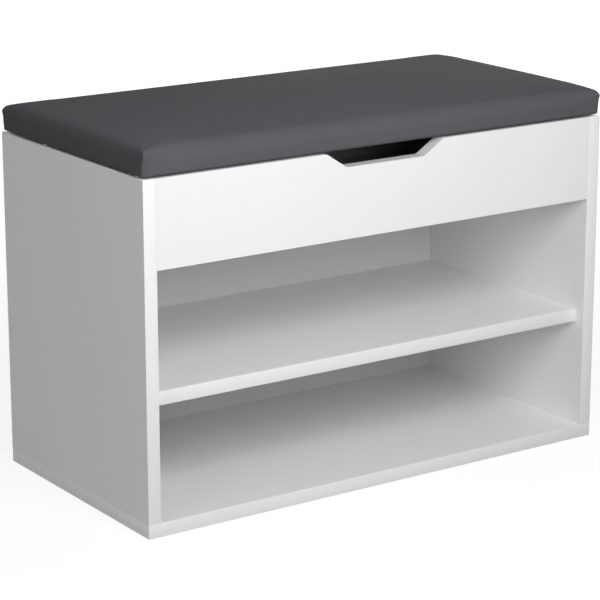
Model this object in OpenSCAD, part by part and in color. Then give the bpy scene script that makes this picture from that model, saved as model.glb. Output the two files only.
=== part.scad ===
// Entryway bench: a board carcass with two shoe bays and a storage box under an upholstered, hinged seat.
// Millimetres. The origin is the centre of the underside, +X to the right, -Y to the front, +Z up.

/* [Carcass] */
// Width over the side panels
bench_w = 600; // [520:10:900]
// Depth over the side panels
bench_d = 300; // [280:5:400]
// Height of the carcass without the seat
carcass_h = 380; // [360:5:460]
// Thickness of the coated boards
board_t = 15; // [14:0.5:18]
// Clear height of the lower shoe bay
lower_bay_h = 122.5; // [100:0.5:140]
// Height of the front panel and of the rear rail
apron_h = 95; // [88:1:110]
// How far the shoe shelf stands back from the front
shelf_setback = 14.5; // [2:0.5:40]
// Thickness of the glued edge bands
band_t = 0.8; // [0.4:0.1:2]

/* [Hand cut-out] */
// Width of the cut-out at the top of the front panel
grip_top_w = 154; // [120:1:220]
// Width of the cut-out at its bottom
grip_bottom_w = 102; // [80:1:118]
// Depth of the cut-out
grip_depth = 17; // [12:0.5:30]
// Radius in the lower corners of the cut-out
grip_corner_r = 8; // [3:0.5:12]
// Radius that eases the upper corners of the cut-out
grip_lip_r = 6; // [2:0.5:10]

/* [Back panel] */
// Thickness of the hardboard back
back_t = 3; // [2.5:0.1:4]
// Depth of the grooves that hold the back
groove_depth = 4; // [3:0.5:5]
// Distance from the rear edges to the back panel
back_inset = 7; // [5:0.5:9]

/* [Seat] */
// Thickness of the seat pad in its middle
seat_t = 38.5; // [34:0.5:60]
// Height of the pad's edge, where its upper rounding starts
seat_side_t = 15; // [13:0.5:24]
// Radius of the pad's upper edge
seat_top_r = 14; // [8:0.5:18]
// Radius of the pad's lower edge
seat_bottom_r = 3.5; // [2:0.5:5]
// Radius of the pad's upright corners
seat_corner_r = 8; // [5:0.5:15]
// Thickness of the seat board inside the pad
seat_board_t = 12; // [9:0.5:13]
// Thickness of the leather-look cover
cover_t = 1; // [0.8:0.1:1.5]
// Width of the cover's hem under the seat board
hem_w = 52; // [46:1:70]
// Width of the hem that the lining leaves bare
lining_inset = 42; // [40:1:44]
// Thickness of the lining
lining_t = 0.5; // [0.3:0.1:0.8]
// Gap between the carcass and the closed seat
lid_gap = 1.5; // [1.5:0.1:3]

/* [Hinges] */
// Width of each butt hinge
hinge_w = 50; // [40:1:70]
// Distance of each hinge's middle from the end of the bench
hinge_inset = 105; // [90:1:150]
// Height of the leaf on the rear rail
rail_leaf_h = 28; // [24:1:36]
// Depth of the leaf under the seat
seat_leaf_d = 30; // [26:1:40]
// Thickness of the leaves
leaf_t = 1.2; // [1:0.1:1.2]
// Outer radius of the knuckles
knuckle_r = 3; // [2.6:0.1:3.5]
// Radius of the hinge pins
hinge_pin_r = 1.3; // [1:0.1:1.5]

/* [Lid stay] */
// Distance of the seat pivot in front of the hinge line
stay_reach = 90; // [70:1:110]
// Depth of the seat pivot below the underside of the seat
stay_drop = 12; // [11:0.5:14]
// Distance of the wall pivot in front of the hinge line
wall_pivot_y = 35; // [32:0.5:50]
// Height of the wall pivot above the storage floor
wall_pivot_z = 22; // [20.5:0.5:30]
// Width of the stay's bars
bar_w = 10; // [8:0.5:12]
// Thickness of the stay's bars and brackets
bar_t = 1.5; // [1.2:0.1:2]
// Radius of the stay's rivets
rivet_r = 2.5; // [2:0.1:3]
// How far the seat opens, in degrees
open_angle = 95; // [85:1:100]

/* [Fixings] */
// Radius of the wooden dowels
dowel_r = 3; // [2.5:0.5:4]
// Length of the wooden dowels
dowel_l = 30; // [25:1:40]
// Radius of the cam locks
cam_r = 7.4; // [6:0.1:7.5]
// Height of the cam locks
cam_h = 12; // [10:0.5:12.5]
// Distance of the cam locks from the board's end
cam_setback = 24; // [20:1:34]
// Length of the confirmat screws
confirmat_l = 50; // [40:5:70]
// Length of the wood screws in the seat and the rail
screw_l = 10; // [8:0.5:11]
// Radius of the wood screws
screw_r = 1.5; // [1.2:0.1:1.75]

/* [Clearances] */
// Radial clearance of a glued or screwed fixing in its hole
fix_gap = 0.05; // [0.02:0.01:0.1]
// Radial clearance of a turning pin in its hole
pin_gap = 0.08; // [0.05:0.01:0.1]
// Gap between parts that move past each other
slide_gap = 0.3; // [0.2:0.05:0.5]
// Play of the back panel in its grooves
groove_play = 0.3; // [0.1:0.05:0.5]

/* [Hidden] */
$fn = 48;
cut = 1;                       // how far a cutting shape runs past the face that it cuts
graze = 0.02;                  // how far a round end stands past the straight side that it runs into
half_w = bench_w / 2;
half_d = bench_d / 2;
inner_x = half_w - board_t;    // inner faces of the side panels
mid_t = board_t / 2;
shelf_z = board_t + lower_bay_h;
apron_z = carcass_h - apron_h;
box_floor_z = apron_z + board_t;
shelf_front_y = shelf_setback - half_d;
front_inner_y = board_t - half_d;
rail_inner_y = half_d - board_t;

// Back panel and its grooves
groove_w = back_t + groove_play;
groove_y = half_d - back_inset - groove_w;
shelf_rear_y = groove_y - slide_gap;
groove_top_z = apron_z + groove_depth;

// Fixings: rows of places on the side panels' inner faces, each [y, z]
row_inset = 70;                // distance of the shelf's cam rows from the front and the rear
row_y = half_d - row_inset;
low_fix = 20;                  // height of the aprons' dowels above their lower edge
high_fix = 30;                 // depth of the aprons' cams below their upper edge
dowel_bite = 9.5;              // how deep a dowel sits in the face of a board
dowel_play = 0.5;              // spare depth at each end of a dowel hole
dowel_skin = 0.5;              // board left between the back panel's groove and the dowels over it
bolt_bite = 9;
bolt_r = 3;
bolt_neck_r = 2;
bolt_flange_r = 3.6;
bolt_flange_t = 1.5;
bolt_head_r = 3.2;
bolt_head_l = 4.5;
bolt_head_ease = 1;
bolt_bore_r = 4;
cam_skin = 3;                  // wall that the cam keeps behind the bolt's head
cam_drive_w = 1.2;
cam_drive_depth = 1.5;
dowel_ease = 1;
confirmat_head_r = 5;
confirmat_head_h = 4;
confirmat_neck_r = 3.5;
confirmat_root_r = 2.5;
confirmat_drive_r = 2.3;
confirmat_drive_depth = 2.5;
confirmat_inset = 40;
confirmat_y = half_d - confirmat_inset;
base_dowel_y = 50;
bay_dowel_inset = 105;         // distance of the outer floor dowels from the side panels
bay_dowel_x = inner_x - bay_dowel_inset;
apron_mid_y = mid_t - half_d;
rail_mid_y = half_d - mid_t;
shelf_mid_z = shelf_z + mid_t;
box_floor_mid_z = apron_z + mid_t;

// A joint's entries are [y, z, turn], and the turn points the cam's open face
FACE_DOWN = 0;
FACE_REAR = 90;
FACE_FRONT = -90;
apron_cam = [apron_mid_y, carcass_h - high_fix, FACE_REAR];
rail_cam = [rail_mid_y, carcass_h - high_fix, FACE_FRONT];
shelf_cams = [for (y = [-row_y, row_y]) [y, shelf_mid_z, FACE_DOWN]];
floor_cams = [for (y = [-row_y, row_y]) [y, box_floor_mid_z, FACE_DOWN]];
all_cams = concat([apron_cam, rail_cam], shelf_cams, floor_cams);
apron_dowel = [apron_mid_y, apron_z + low_fix];
rail_dowel = [rail_mid_y, apron_z + low_fix];
shelf_dowel = [0, shelf_mid_z];
floor_dowel = [0, box_floor_mid_z];
all_dowels = [apron_dowel, rail_dowel, shelf_dowel, floor_dowel];

// Seat
seat_z = carcass_h + lid_gap;
board_inset = seat_bottom_r;
foam_gap = 0.1;                // between the foam and what it lies against
crown_fn = 1440;

// Hinges
hinge_x = half_w - hinge_inset;
axis_y = half_d + knuckle_r;
axis_z = seat_z - knuckle_r;
knuckle_l = (hinge_w - 2 * slide_gap) / 3;
pin_head_r = 2;
pin_head_t = 0.6;
screw_head_r = 2.7;
screw_drive_w = 0.7;
screw_drive_l = 3.2;
leaf_screw_x = 17;
seat_leaf_rows = [9, 20];      // distances of the screws from the edge behind the knuckles
rail_leaf_row = 9;             // height of the screws over the leaf's lower edge
bumper_r = 4;
bumper_front_inset = 20;
bumper_rear_inset = 90;
bumper_y = [bumper_front_inset - half_d, half_d - bumper_rear_inset];

// Lid stay: two bars that make a parallelogram with the seat and the carcass.
// The layers count inwards from the right side panel.
stay_seat = [axis_y - stay_reach, seat_z - stay_drop];
stay_wall = [axis_y - wall_pivot_y, box_floor_z + wall_pivot_z];
stay_knee = stay_wall + stay_seat - [axis_y, axis_z];
lower_bar_v = stay_knee - stay_wall;
upper_bar_v = stay_knee - stay_seat;
lower_bar_x = bar_t + slide_gap;
upper_bar_x = lower_bar_x + bar_t + slide_gap;
tab_x = upper_bar_x + bar_t + slide_gap;
rivet_head_r = 4;
rivet_head_t = 1.1;
rivet_head_gap = 0.15;
wall_plate_h = 40;
wall_plate_w = 16;
wall_screw_dz = 14;
lining_margin = 1;             // between the seat bracket's flange and the lining
flange_l = lining_inset - board_t - tab_x - lining_margin;
flange_w = 22;
flange_screw_dy = 8;
stop_r = 2;                    // stop pin on the lower bar, which the upper bar meets when fully open
stop_reach = 14;
stop_gap = 0.2;
closed_knee = atan2(-upper_bar_v[1], -upper_bar_v[0]) - atan2(-lower_bar_v[1], -lower_bar_v[0]);
stop_turn = closed_knee + open_angle + asin((bar_w / 2 + stop_r + stop_gap) / stop_reach);
stop_dir = stop_turn + atan2(-lower_bar_v[1], -lower_bar_v[0]);
stop_at = stay_knee + stop_reach * [cos(stop_dir), sin(stop_dir)];

// Staples
staple_w = 10;
staple_wire = 0.7;
staple_leg = 6;
hem_staple_inset = 24;
hem_staple_step = 60;
lining_staple_row = 5;          // distance of the lining's staples from its edge
lining_staple_step = 70;

WHITE = [0.93, 0.93, 0.93];
BAND = [0.96, 0.96, 0.96];
STEEL = [0.72, 0.73, 0.75];

// ---------- helpers ----------

// A block given by its lowest and highest corners
module block(low, high) {
    translate(low)
        cube(high - low);
}

// A cylinder along +X from a point
module rod_x(at, r, l) {
    translate(at)
        rotate([0, 90, 0])
            cylinder(r = r, h = l);
}

// Draws its children on the right and mirrored on the left
module both_sides() {
    children();
    mirror([1, 0, 0])
        children();
}

// A countersunk screw with its head's flat face at the origin, pointing down
module csk_screw(gap = 0) {
    head_h = leaf_t;
    difference() {
        union() {
            translate([0, 0, -head_h])
                cylinder(r1 = screw_r + gap, r2 = screw_head_r + gap, h = head_h);
            translate([0, 0, -screw_l - gap * 4])
                cylinder(r = screw_r + gap, h = screw_l);
        }
        if (gap == 0)
            for (turn = [0, 90])
                rotate([0, 0, turn])
                    translate([-screw_drive_l / 2, -screw_drive_w / 2, -head_h / 2])
                        cube([screw_drive_l, screw_drive_w, head_h]);
    }
}

// A dowel along +X, with eased ends, centred on the origin
module dowel() {
    rotate([0, 90, 0])
        rotate_extrude()
            polygon([
                [0, -dowel_l / 2],
                [dowel_r - dowel_ease, -dowel_l / 2],
                [dowel_r, dowel_ease - dowel_l / 2],
                [dowel_r, dowel_l / 2 - dowel_ease],
                [dowel_r - dowel_ease, dowel_l / 2],
                [0, dowel_l / 2]
            ]);
}

// Places of the dowel centres in the right-hand end joints
module at_end_dowels(places) {
    for (p = places)
        translate([inner_x + dowel_bite - dowel_l / 2, p[0], p[1]])
            children();
}

// The holes for end dowels, drilled in the boards on both sides of the joint
module end_dowel_holes(places) {
    hole_l = dowel_l + 2 * dowel_play;
    both_sides()
        at_end_dowels(places)
            rod_x([-hole_l / 2, 0, 0], dowel_r + fix_gap, hole_l);
}

// A cam bolt along -X: its thread bites into the side panel to the right of the origin
module cam_bolt() {
    head_x = cam_setback + bolt_head_l / 2;
    rotate([0, -90, 0])
        rotate_extrude()
            polygon([
                [0, -bolt_bite],
                [bolt_r, -bolt_bite],
                [bolt_r, 0],
                [bolt_flange_r, 0],
                [bolt_flange_r, bolt_flange_t],
                [bolt_neck_r, bolt_flange_t],
                [bolt_neck_r, head_x - bolt_head_l],
                [bolt_head_r, head_x - bolt_head_l + bolt_head_ease],
                [bolt_head_r, head_x - bolt_head_ease],
                [bolt_neck_r, head_x],
                [0, head_x]
            ]);
}

// Children at every cam joint of the right-hand end, turned so that -Z is the cam's open face
module at_cams(places) {
    for (p = places)
        translate([inner_x, p[0], p[1]])
            rotate([p[2], 0, 0])
                children();
}

// The holes in a side panel for the cam bolts' threads
module cam_bolt_holes() {
    both_sides()
        at_cams(all_cams)
            rod_x([-cut, 0, 0], bolt_r + fix_gap, bolt_bite + dowel_play + cut);
}

// The bore and the round pocket that a board's end has for each cam joint
module cam_pockets(places) {
    both_sides()
        at_cams(places) {
            rod_x([-cam_setback, 0, 0], bolt_bore_r, cam_setback + cut);
            translate([-cam_setback, 0, -mid_t - cut])
                cylinder(r = cam_r + fix_gap * 2, h = cam_h + dowel_play + cut);
        }
}

// A cam lock, flush with the board's face, with the slot that grips the bolt's head
module cam_lock() {
    slot_w = 2 * (bolt_head_r + slide_gap);
    neck_w = 2 * (bolt_neck_r + slide_gap);
    translate([-cam_setback, 0, -mid_t])
        difference() {
            cylinder(r = cam_r, h = cam_h);
            translate([0, 0, mid_t])
                rod_x([-bolt_head_l, 0, 0], slot_w / 2, cam_r + bolt_head_l - cam_skin);
            translate([0, 0, mid_t])
                rod_x([0, 0, 0], neck_w / 2, cam_r + cut);
            for (turn = [0, 90])
                rotate([0, 0, turn + 45])
                    translate([-cam_r / 2, -cam_drive_w / 2, -cut])
                        cube([cam_r, cam_drive_w, cut + cam_drive_depth]);
        }
}

// ---------- carcass ----------

// The groove for the back, cut in the boards that hold it
module back_grooves() {
    block([-inner_x - groove_depth, groove_y, board_t - groove_depth],
          [inner_x + groove_depth, groove_y + groove_w, groove_top_z]);
}

module at_confirmats() {
    both_sides()
        for (y = [-confirmat_y, confirmat_y])
            translate([half_w - mid_t, y, 0])
                children();
}

module at_base_dowels() {
    both_sides()
        for (y = [-base_dowel_y, base_dowel_y])
            translate([half_w - mid_t, y, board_t - dowel_bite + dowel_l / 2])
                rotate([0, 90, 0])
                    children();
}

module confirmat_holes() {
    at_confirmats() {
        translate([0, 0, -cut])
            cylinder(r = confirmat_head_r + fix_gap, h = cut + fix_gap);
        translate([0, 0, fix_gap])
            cylinder(r1 = confirmat_head_r + fix_gap, r2 = confirmat_neck_r + fix_gap, h = confirmat_head_h);
        cylinder(r = confirmat_neck_r + fix_gap, h = board_t);
        cylinder(r = confirmat_root_r + fix_gap, h = confirmat_l + dowel_play);
    }
}

module base_dowel_holes() {
    hole_l = dowel_l + 2 * dowel_play;
    at_base_dowels()
        rod_x([-hole_l / 2, 0, 0], dowel_r + fix_gap, hole_l);
}

module base_panel() {
    color(WHITE)
        difference() {
            block([band_t - half_w, band_t - half_d, 0], [half_w - band_t, half_d, board_t]);
            back_grooves();
            confirmat_holes();
            base_dowel_holes();
        }
}

module base_edge_bands() {
    color(BAND) {
        block([-half_w, -half_d, 0], [half_w, band_t - half_d, board_t]);
        both_sides()
            block([half_w - band_t, band_t - half_d, 0], [half_w, half_d, board_t]);
    }
}

// The right-hand side panel; the left-hand one is its mirror image without the stay's screws
module side_board() {
    difference() {
        block([inner_x, band_t - half_d, board_t], [half_w, half_d, carcass_h - band_t]);
        back_grooves();
        confirmat_holes();
        base_dowel_holes();
        cam_bolt_holes();
        end_dowel_holes(all_dowels);
    }
}

module side_bands() {
    block([inner_x, -half_d, board_t], [half_w, band_t - half_d, carcass_h]);
    block([inner_x, band_t - half_d, carcass_h - band_t], [half_w, half_d, carcass_h]);
}

module left_side_panel() {
    color(WHITE)
        mirror([1, 0, 0])
            side_board();
}

module left_panel_edge_bands() {
    color(BAND)
        mirror([1, 0, 0])
            side_bands();
}

module right_side_panel() {
    color(WHITE)
        difference() {
            side_board();
            at_wall_screws()
                csk_screw(fix_gap);
        }
}

module right_panel_edge_bands() {
    color(BAND)
        side_bands();
}

module shoe_shelf() {
    color(WHITE)
        difference() {
            block([-inner_x, shelf_front_y + band_t, shelf_z], [inner_x, shelf_rear_y, shelf_z + board_t]);
            cam_pockets(shelf_cams);
            end_dowel_holes([shelf_dowel]);
        }
}

module shelf_edge_band() {
    color(BAND)
        block([-inner_x, shelf_front_y, shelf_z], [inner_x, shelf_front_y + band_t, shelf_z + board_t]);
}

// Dowels that run front to back, from the storage floor into the front panel and the rear rail
module at_floor_dowels() {
    for (x = [-bay_dowel_x, 0, bay_dowel_x], side = [-1, 1])
        translate([x, side * (rail_inner_y + dowel_bite - dowel_l / 2), groove_top_z + dowel_skin + dowel_r])
            rotate([0, 0, 90])
                children();
}

module floor_dowel_holes() {
    hole_l = dowel_l + 2 * dowel_play;
    at_floor_dowels()
        rod_x([-hole_l / 2, 0, 0], dowel_r + fix_gap, hole_l);
}

module storage_floor() {
    color(WHITE)
        difference() {
            block([-inner_x, front_inner_y, apron_z], [inner_x, rail_inner_y, box_floor_z]);
            cam_pockets(floor_cams);
            end_dowel_holes([floor_dowel]);
            floor_dowel_holes();
        }
}

// Outline of the hand cut-out in the panel's plane, with round corners, standing on its lower edge
module grip_outline() {
    slope = atan2(grip_depth, (grip_top_w - grip_bottom_w) / 2);
    low_reach = grip_corner_r * tan(slope / 2);
    lip_reach = grip_lip_r * tan(slope / 2);
    low = [grip_bottom_w / 2, 0];
    top = [grip_top_w / 2, grip_depth];
    polygon([
        low - [low_reach, 0],
        low + low_reach * [cos(slope), sin(slope)],
        top,
        top + [lip_reach, 0],
        top + [lip_reach, cut],
        [-top[0] - lip_reach, grip_depth + cut],
        [-top[0] - lip_reach, grip_depth],
        [-top[0], grip_depth],
        [-low[0] - low_reach * cos(slope), low_reach * sin(slope)],
        [low_reach - low[0], 0]
    ]);
    both_sides() {
        translate([low[0] - low_reach, grip_corner_r])
            circle(r = grip_corner_r + graze);
        lip_cut(top, slope, lip_reach);
    }
}

// What a round upper corner takes away: the sharp corner outside the arc
module lip_cut(top, slope, reach) {
    centre = top + [reach, -grip_lip_r];
    difference() {
        polygon([
            top + [reach, 0],
            centre,
            top - reach * [cos(slope), sin(slope)],
            [0, centre[1]],
            [0, grip_depth]
        ]);
        translate(centre)
            circle(r = grip_lip_r + graze);
    }
}

module front_panel() {
    color(WHITE)
        difference() {
            block([-inner_x, -half_d, apron_z + band_t], [inner_x, front_inner_y, carcass_h]);
            translate([0, front_inner_y + cut, carcass_h - grip_depth])
                rotate([90, 0, 0])
                    linear_extrude(board_t + 2 * cut)
                        grip_outline();
            cam_pockets([apron_cam]);
            end_dowel_holes([apron_dowel]);
            floor_dowel_holes();
        }
}

module front_panel_edge_band() {
    color(BAND)
        block([-inner_x, -half_d, apron_z], [inner_x, front_inner_y, apron_z + band_t]);
}

module rear_rail() {
    color(WHITE)
        difference() {
            block([-inner_x, rail_inner_y, apron_z], [inner_x, half_d, carcass_h]);
            back_grooves();
            cam_pockets([rail_cam]);
            end_dowel_holes([rail_dowel]);
            floor_dowel_holes();
            at_rail_leaf_screws()
                csk_screw(fix_gap);
        }
}

module back_panel() {
    play = groove_play / 2;
    color(WHITE)
        block([play - inner_x - groove_depth, groove_y + play, board_t - groove_depth + play],
              [inner_x + groove_depth - play, groove_y + play + back_t, groove_top_z - play]);
}

// ---------- fixings ----------

module wooden_dowels() {
    color("burlywood") {
        both_sides()
            at_end_dowels(all_dowels)
                dowel();
        at_base_dowels()
            dowel();
        at_floor_dowels()
            dowel();
    }
}

module cam_bolts() {
    color(STEEL)
        both_sides()
            at_cams(all_cams)
                cam_bolt();
}

module cam_locks() {
    color("silver")
        both_sides()
            at_cams(all_cams)
                cam_lock();
}

module confirmat_screws() {
    color(STEEL)
        at_confirmats()
            difference() {
                rotate_extrude()
                    polygon([
                        [0, fix_gap],
                        [confirmat_head_r, fix_gap],
                        [confirmat_neck_r, fix_gap + confirmat_head_h],
                        [confirmat_neck_r, board_t - fix_gap],
                        [confirmat_root_r, board_t - fix_gap],
                        [confirmat_root_r, confirmat_l - confirmat_root_r],
                        [0, confirmat_l]
                    ]);
                cylinder(r = confirmat_drive_r, h = 2 * confirmat_drive_depth, center = true, $fn = 6);
            }
}

// Clear pads on the top edges, which the closed seat lies on
module lid_bumpers() {
    color("whitesmoke")
        both_sides()
            for (y = bumper_y)
                translate([half_w - mid_t, y, carcass_h])
                    cylinder(r = bumper_r, h = lid_gap - slide_gap);
}

// ---------- hinges ----------

// Children at the middle of each hinge's axis; side is -1 for the left one and 1 for the right one
module at_hinge(side) {
    translate([side * hinge_x, axis_y, axis_z])
        children();
}

module both_hinges() {
    for (side = [-1, 1])
        at_hinge(side)
            children();
}

// Screw places on the rail's leaf, heads to the rear
module at_rail_leaf_screws() {
    both_hinges()
        for (x = [-leaf_screw_x, leaf_screw_x])
            translate([x, leaf_t - knuckle_r, rail_leaf_row - rail_leaf_h])
                rotate([-90, 0, 0])
                    children();
}

// Screw places on the seat's leaf, heads down
module at_seat_leaf_screws() {
    both_hinges()
        for (x = [-leaf_screw_x, leaf_screw_x], back = seat_leaf_rows)
            translate([x, -knuckle_r - back, knuckle_r - leaf_t])
                rotate([180, 0, 0])
                    children();
}

module knuckle(x, l) {
    rod_x([x, 0, 0], knuckle_r, l);
}

// The leaf on the rear rail, with the two outer knuckles
module rail_leaf() {
    clear_x = knuckle_l / 2 + slide_gap;
    difference() {
        union() {
            block([-hinge_w / 2, -knuckle_r, -rail_leaf_h], [hinge_w / 2, leaf_t - knuckle_r, 0]);
            for (x = [-hinge_w / 2, clear_x])
                knuckle(x, knuckle_l);
        }
        block([-clear_x, -knuckle_r - cut, -knuckle_r - slide_gap], [clear_x, knuckle_r, knuckle_r]);
        rod_x([-hinge_w / 2 - cut, 0, 0], hinge_pin_r + fix_gap / 2, hinge_w + 2 * cut);
    }
}

// The leaf under the seat, with the middle knuckle
module seat_leaf() {
    clear_x = knuckle_l / 2;
    difference() {
        union() {
            block([-hinge_w / 2, -seat_leaf_d, knuckle_r - leaf_t],
                  [hinge_w / 2, -knuckle_r - slide_gap, knuckle_r]);
            block([-clear_x, -knuckle_r - cut, knuckle_r - leaf_t], [clear_x, 0, knuckle_r]);
            knuckle(-clear_x, knuckle_l);
        }
        rod_x([-clear_x - cut, 0, 0], hinge_pin_r + pin_gap, knuckle_l + 2 * cut);
    }
}

module rail_leaf_on(side) {
    color(STEEL)
        difference() {
            at_hinge(side)
                rail_leaf();
            at_rail_leaf_screws()
                csk_screw(fix_gap);
        }
}

module seat_leaf_on(side) {
    color(STEEL)
        difference() {
            at_hinge(side)
                seat_leaf();
            at_seat_leaf_screws()
                csk_screw(fix_gap);
        }
}

module left_hinge_rail_leaf() {
    rail_leaf_on(-1);
}

module right_hinge_rail_leaf() {
    rail_leaf_on(1);
}

module left_hinge_seat_leaf() {
    seat_leaf_on(-1);
}

module right_hinge_seat_leaf() {
    seat_leaf_on(1);
}

module hinge_pins() {
    color(STEEL)
        both_hinges() {
            rod_x([-hinge_w / 2 - pin_head_t, 0, 0], hinge_pin_r, hinge_w + 2 * pin_head_t);
            for (x = [-hinge_w / 2 - pin_head_t, hinge_w / 2])
                rod_x([x, 0, 0], pin_head_r, pin_head_t);
        }
}

module rail_leaf_screws() {
    color(STEEL)
        at_rail_leaf_screws()
            csk_screw();
}

module seat_leaf_screws() {
    color(STEEL)
        at_seat_leaf_screws()
            csk_screw();
}

// ---------- lid stay ----------

// A layer of the stay: children in the side view's plane, grown inwards from a distance off the panel
module stay_layer(from, thick) {
    translate([inner_x - from, 0, 0])
        rotate([90, 0, -90])
            linear_extrude(thick)
                children();
}

// In the layer's plane the bench's +Y points left, so the points are mirrored
module side_view() {
    mirror([1, 0])
        children();
}

// The outline of a bar with round ends between two points
module bar_blank(a, b) {
    along = b - a;
    side_view() {
        for (p = [a, b])
            translate(p)
                circle(d = bar_w);
        translate(a)
            rotate(atan2(along[1], along[0]))
                translate([0, graze - bar_w / 2])
                    square([norm(along), bar_w - 2 * graze]);
    }
}

module bar_hole(at, r) {
    side_view()
        translate(at)
            circle(r = r);
}

// A round rivet along the stay's axis: the distances are measured inwards from the side panel
module rivet(at, from, to) {
    rod_x([inner_x - to, at[0], at[1]], rivet_r, to - from);
}

module rivet_head(at, from) {
    rod_x([inner_x - from - rivet_head_t, at[0], at[1]], rivet_head_r, rivet_head_t);
}

module rivet_hole(at, gap) {
    rod_x([inner_x - 2 * tab_x, at[0], at[1]], rivet_r + gap, 2 * tab_x + cut);
}

module at_wall_screws() {
    for (dz = [-wall_screw_dz, wall_screw_dz])
        translate([inner_x - bar_t, stay_wall[0], stay_wall[1] + dz])
            rotate([0, -90, 0])
                children();
}

module stay_wall_bracket() {
    color(STEEL)
        difference() {
            block([inner_x - bar_t, stay_wall[0] - wall_plate_w / 2, stay_wall[1] - wall_plate_h / 2],
                  [inner_x, stay_wall[0] + wall_plate_w / 2, stay_wall[1] + wall_plate_h / 2]);
            rivet_hole(stay_wall, fix_gap / 2);
            at_wall_screws()
                csk_screw(fix_gap);
        }
}

module stay_wall_screws() {
    color(STEEL)
        at_wall_screws()
            csk_screw();
}

module stay_wall_rivet() {
    head_x = lower_bar_x + bar_t + rivet_head_gap;
    color(STEEL) {
        rivet(stay_wall, 0, head_x + rivet_head_t);
        rivet_head(stay_wall, head_x);
    }
}

module stay_lower_bar() {
    color(STEEL) {
        stay_layer(lower_bar_x, bar_t)
            difference() {
                union() {
                    bar_blank(stay_wall, stay_knee);
                    bar_blank(stay_knee, stop_at);
                }
                bar_hole(stay_wall, rivet_r + pin_gap);
                bar_hole(stay_knee, rivet_r + fix_gap / 2);
            }
        rod_x([inner_x - tab_x, stop_at[0], stop_at[1]], stop_r, tab_x - lower_bar_x);
    }
}

module stay_knee_rivet() {
    head_x = upper_bar_x + bar_t + rivet_head_gap;
    tail_x = lower_bar_x - rivet_head_t;
    color(STEEL) {
        rivet(stay_knee, tail_x, head_x + rivet_head_t);
        rivet_head(stay_knee, head_x);
        rivet_head(stay_knee, tail_x);
    }
}

module stay_upper_bar() {
    color(STEEL)
        stay_layer(upper_bar_x, bar_t)
            difference() {
                bar_blank(stay_seat, stay_knee);
                bar_hole(stay_seat, rivet_r + pin_gap);
                bar_hole(stay_knee, rivet_r + pin_gap);
            }
}

module at_seat_bracket_screws() {
    for (dy = [-flange_screw_dy, flange_screw_dy])
        translate([inner_x - tab_x - flange_l / 2 - bar_t, stay_seat[0] + dy, seat_z - bar_t])
            rotate([180, 0, 0])
                children();
}

module stay_seat_bracket() {
    color(STEEL)
        difference() {
            union() {
                block([inner_x - tab_x - flange_l, stay_seat[0] - flange_w / 2, seat_z - bar_t],
                      [inner_x - tab_x, stay_seat[0] + flange_w / 2, seat_z]);
                block([inner_x - tab_x - bar_t, stay_seat[0] - bar_w / 2, stay_seat[1]],
                      [inner_x - tab_x, stay_seat[0] + bar_w / 2, seat_z]);
                rod_x([inner_x - tab_x - bar_t, stay_seat[0], stay_seat[1]], bar_w / 2, bar_t);
            }
            rivet_hole(stay_seat, fix_gap / 2);
            at_seat_bracket_screws()
                csk_screw(fix_gap);
        }
}

module stay_seat_screws() {
    color(STEEL)
        at_seat_bracket_screws()
            csk_screw();
}

module stay_seat_rivet() {
    head_x = upper_bar_x - rivet_head_gap - rivet_head_t;
    color(STEEL) {
        rivet(stay_seat, head_x, tab_x + bar_t);
        rivet_head(stay_seat, head_x);
    }
}

// ---------- seat ----------

// Radius of a crown that runs tangent into the round upper edges, over a pad of this half width
function crown_radius(half) =
    let(a = half - seat_top_r, h = seat_t - seat_side_t)
    (a * a + h * h - seat_top_r * seat_top_r) / (2 * (h - seat_top_r));

// The pad's section: round lower edges, round upper edges and a crown, drawn in all round by a distance
module seat_profile(half, in) {
    low_r = seat_bottom_r - in;
    top_r = seat_top_r - in;
    corner = [half - seat_top_r, seat_side_t];
    crown_r = crown_radius(half);
    out = (corner - [0, seat_t - crown_r]) / (crown_r - seat_top_r);
    translate([in - half, seat_bottom_r])
        square([2 * (half - in), seat_side_t - seat_bottom_r]);
    translate([seat_bottom_r - half, in])
        square([2 * (half - seat_bottom_r), seat_side_t - in]);
    both_sides() {
        translate([half - seat_bottom_r, seat_bottom_r])
            circle(r = low_r);
        translate(corner)
            circle(r = top_r);
    }
    intersection() {
        translate([0, seat_t - crown_r])
            circle(r = crown_r - in, $fn = crown_fn);
        polygon([
            [-corner[0], corner[1]],
            corner,
            corner + 2 * seat_top_r * out,
            [-corner[0] - 2 * seat_top_r * out[0], corner[1] + 2 * seat_top_r * out[1]]
        ]);
    }
}

// The pad's outline from above, with round corners
module seat_plan(in) {
    r = seat_corner_r - in;
    reach = [half_w - in, half_d - in];
    square(2 * [reach[0], reach[1] - r], center = true);
    square(2 * [reach[0] - r, reach[1]], center = true);
    for (x = [-1, 1], y = [-1, 1])
        translate([x * (reach[0] - r), y * (reach[1] - r)])
            circle(r = r);
}

// The pad's outer shape, drawn in all round by a distance
module seat_form(in) {
    translate([0, 0, seat_z])
        intersection() {
            linear_extrude(seat_t)
                seat_plan(in);
            rotate([90, 0, 0])
                linear_extrude(bench_d, center = true)
                    seat_profile(half_w, in);
            rotate([90, 0, 90])
                linear_extrude(bench_w, center = true)
                    seat_profile(half_d, in);
        }
}

// The seat board's block, grown by a gap
module seat_board_block(gap = 0) {
    reach_x = half_w - board_inset;
    reach_y = half_d - board_inset;
    block([-reach_x - gap, -reach_y - gap, seat_z + cover_t],
          [reach_x + gap, reach_y + gap, seat_z + cover_t + seat_board_t + gap]);
}

// Holes of everything that is screwed up into the seat
module seat_screw_holes() {
    at_seat_leaf_screws()
        csk_screw(fix_gap);
    at_seat_bracket_screws()
        csk_screw(fix_gap);
}

module seat_board() {
    color("tan")
        difference() {
            seat_board_block();
            seat_screw_holes();
        }
}

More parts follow.
